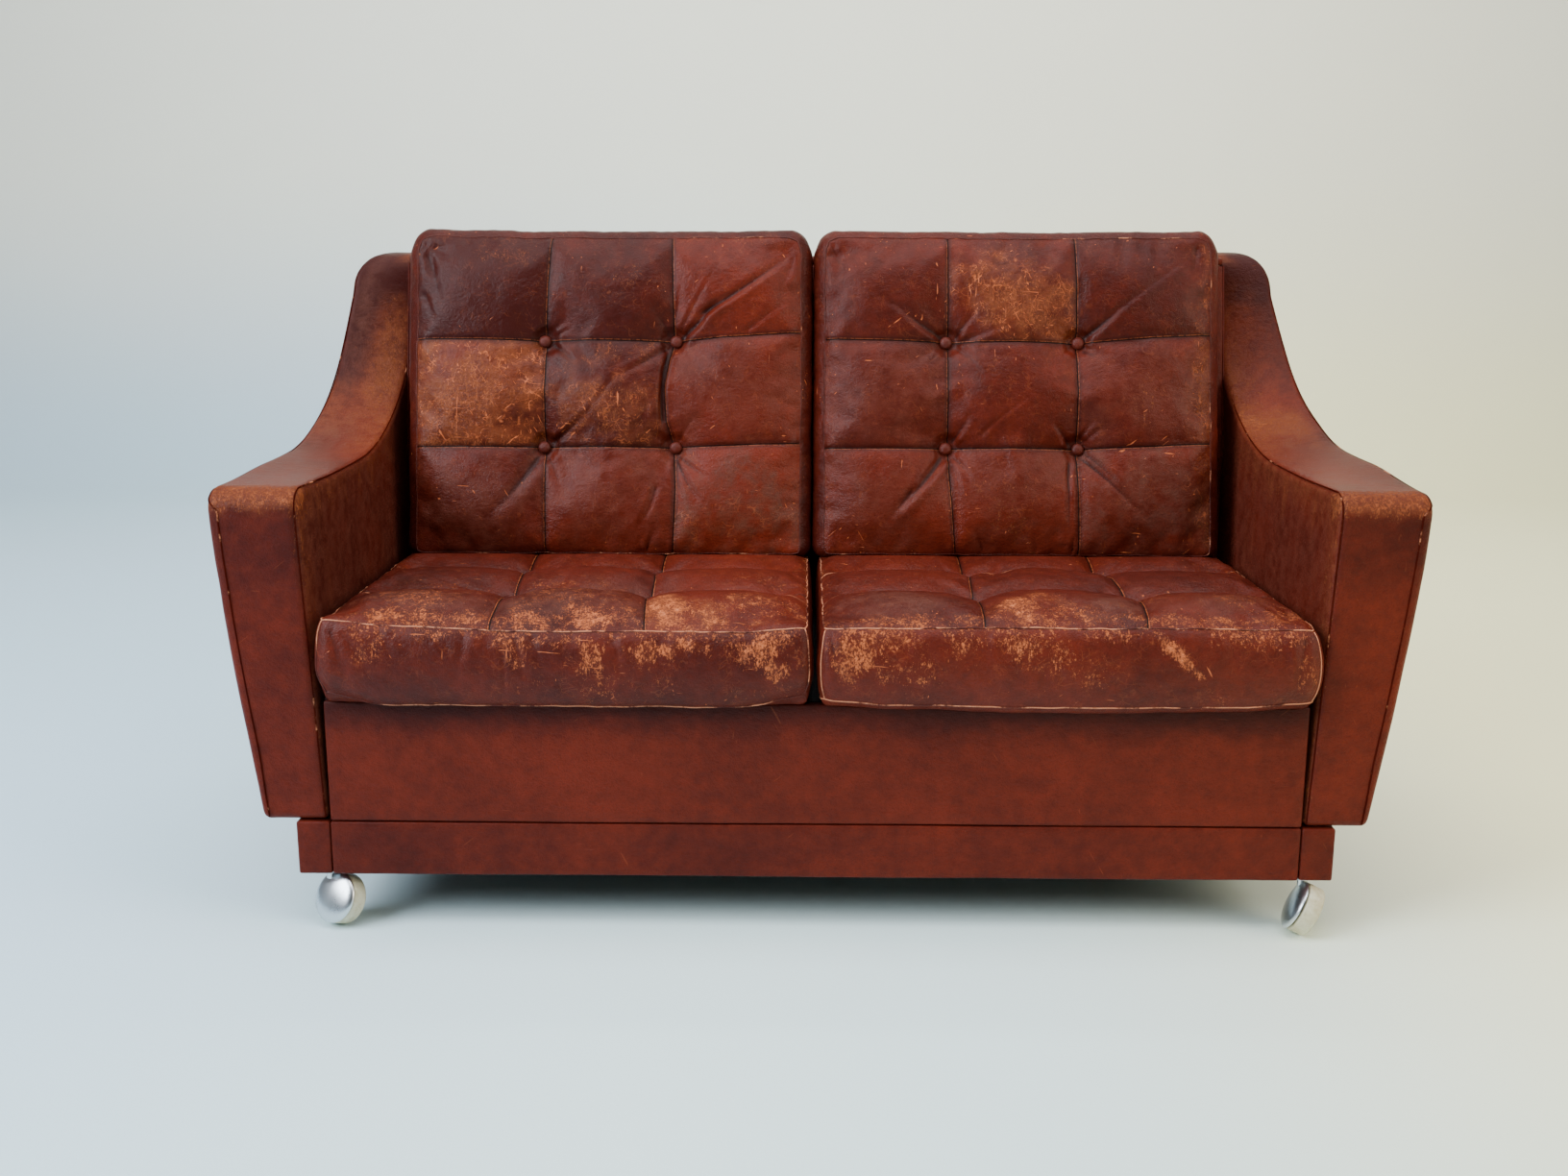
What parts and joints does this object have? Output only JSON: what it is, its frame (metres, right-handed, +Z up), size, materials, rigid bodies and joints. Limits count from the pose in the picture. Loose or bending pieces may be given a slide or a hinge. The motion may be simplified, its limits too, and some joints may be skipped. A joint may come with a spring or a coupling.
{
  "type": "leather sofa",
  "caption": "Worn leather settee with swept-up arms, deep-buttoned loose seat and back cushions, a boxed plinth base and hooded ball castors.",
  "frame": {"origin": "on the floor, under the middle of the sofa's box", "axes": "+X along the sofa's width, to the right as seen from in front; +Y from the front to the back; +Z up"},
  "size_m": [1.48, 0.77, 0.8792],
  "materials": {
    "leather": "worn semi-aniline, scuffed to tan at seams and edges",
    "timber": "sawn beech and ply",
    "lining_cloth": "woven black lining",
    "chrome": "polished, a little dulled",
    "zinc_steel": "zinc plated",
    "nylon": "yellowed cream nylon"
  },
  "bodies": {
    "sofa": {"arm_cover_left": "leather", "arm_cover_right": "leather", "arm_frame_left": "timber", "arm_frame_right": "timber", "front_panel": "leather", "front_rail": "timber", "rear_rail": "timber", "seat_bearer": "timber", "seat_deck": "lining_cloth", "plinth_front": "leather", "plinth_rear": "leather", "plinth_left": "leather", "plinth_right": "leather", "dust_cover": "lining_cloth", "back_lining": "leather", "back_board": "timber", "back_top_rail": "timber", "back_top_cover": "leather", "outside_back": "leather", "seat_cushion_left": "leather", "seat_cushion_right": "leather", "back_cushion_left": "leather", "back_cushion_right": "leather", "back_button_left_lower_inner": "leather", "back_button_left_lower_outer": "leather", "back_button_left_upper_inner": "leather", "back_button_left_upper_outer": "leather", "back_button_right_lower_inner": "leather", "back_button_right_lower_outer": "leather", "back_button_right_upper_inner": "leather", "back_button_right_upper_outer": "leather", "seat_button_left_lower_inner": "leather", "seat_button_left_lower_outer": "leather", "seat_button_left_upper_inner": "leather", "seat_button_left_upper_outer": "leather", "seat_button_right_lower_inner": "leather", "seat_button_right_lower_outer": "leather", "seat_button_right_upper_inner": "leather", "seat_button_right_upper_outer": "leather", "castor_socket_front_left": "zinc_steel", "castor_socket_front_right": "zinc_steel", "castor_socket_rear_left": "zinc_steel", "castor_socket_rear_right": "zinc_steel"},
    "castor_swivel_front_left": {"castor_hood_front_left": "chrome", "castor_axle_front_left": "zinc_steel"},
    "castor_roller_front_left": {"castor_wheel_front_left": "nylon", "castor_tyre_front_left": "nylon"},
    "castor_swivel_front_right": {"castor_hood_front_right": "chrome", "castor_axle_front_right": "zinc_steel"},
    "castor_roller_front_right": {"castor_wheel_front_right": "nylon", "castor_tyre_front_right": "nylon"},
    "castor_swivel_rear_left": {"castor_hood_rear_left": "chrome", "castor_axle_rear_left": "zinc_steel"},
    "castor_roller_rear_left": {"castor_wheel_rear_left": "nylon", "castor_tyre_rear_left": "nylon"},
    "castor_swivel_rear_right": {"castor_hood_rear_right": "chrome", "castor_axle_rear_right": "zinc_steel"},
    "castor_roller_rear_right": {"castor_wheel_rear_right": "nylon", "castor_tyre_rear_right": "nylon"}
  },
  "joints": [
    {"name": "swivel_front_left", "type": "hinge", "parent": "sofa", "child": "castor_swivel_front_left", "pos_m": [-0.6235, -0.332, 0.08], "axis": [0, 0, 1], "continuous": true},
    {"name": "roll_front_left", "type": "hinge", "parent": "castor_swivel_front_left", "child": "castor_roller_front_left", "pos_m": [-0.6093, -0.3338, 0.03279], "axis": [-0.4803, -0.7686, 0.4226], "continuous": true},
    {"name": "swivel_front_right", "type": "hinge", "parent": "sofa", "child": "castor_swivel_front_right", "pos_m": [0.6235, -0.332, 0.08], "axis": [0, 0, 1], "continuous": true},
    {"name": "roll_front_right", "type": "hinge", "parent": "castor_swivel_front_right", "child": "castor_roller_front_right", "pos_m": [0.62715, -0.34584, 0.03279], "axis": [-0.8925, 0.1574, 0.4226], "continuous": true},
    {"name": "swivel_rear_left", "type": "hinge", "parent": "sofa", "child": "castor_swivel_rear_left", "pos_m": [-0.6235, 0.362, 0.08], "axis": [0, 0, 1], "continuous": true},
    {"name": "roll_rear_left", "type": "hinge", "parent": "castor_swivel_rear_left", "child": "castor_roller_rear_left", "pos_m": [-0.61342, 0.35184, 0.03279], "axis": [-0.8517, -0.31, 0.4226], "continuous": true},
    {"name": "swivel_rear_right", "type": "hinge", "parent": "sofa", "child": "castor_swivel_rear_right", "pos_m": [0.6235, 0.362, 0.08], "axis": [0, 0, 1], "continuous": true},
    {"name": "roll_rear_right", "type": "hinge", "parent": "castor_swivel_rear_right", "child": "castor_roller_rear_right", "pos_m": [0.62469, 0.34773, 0.03279], "axis": [-0.8517, 0.31, 0.4226], "continuous": true}
  ]
}
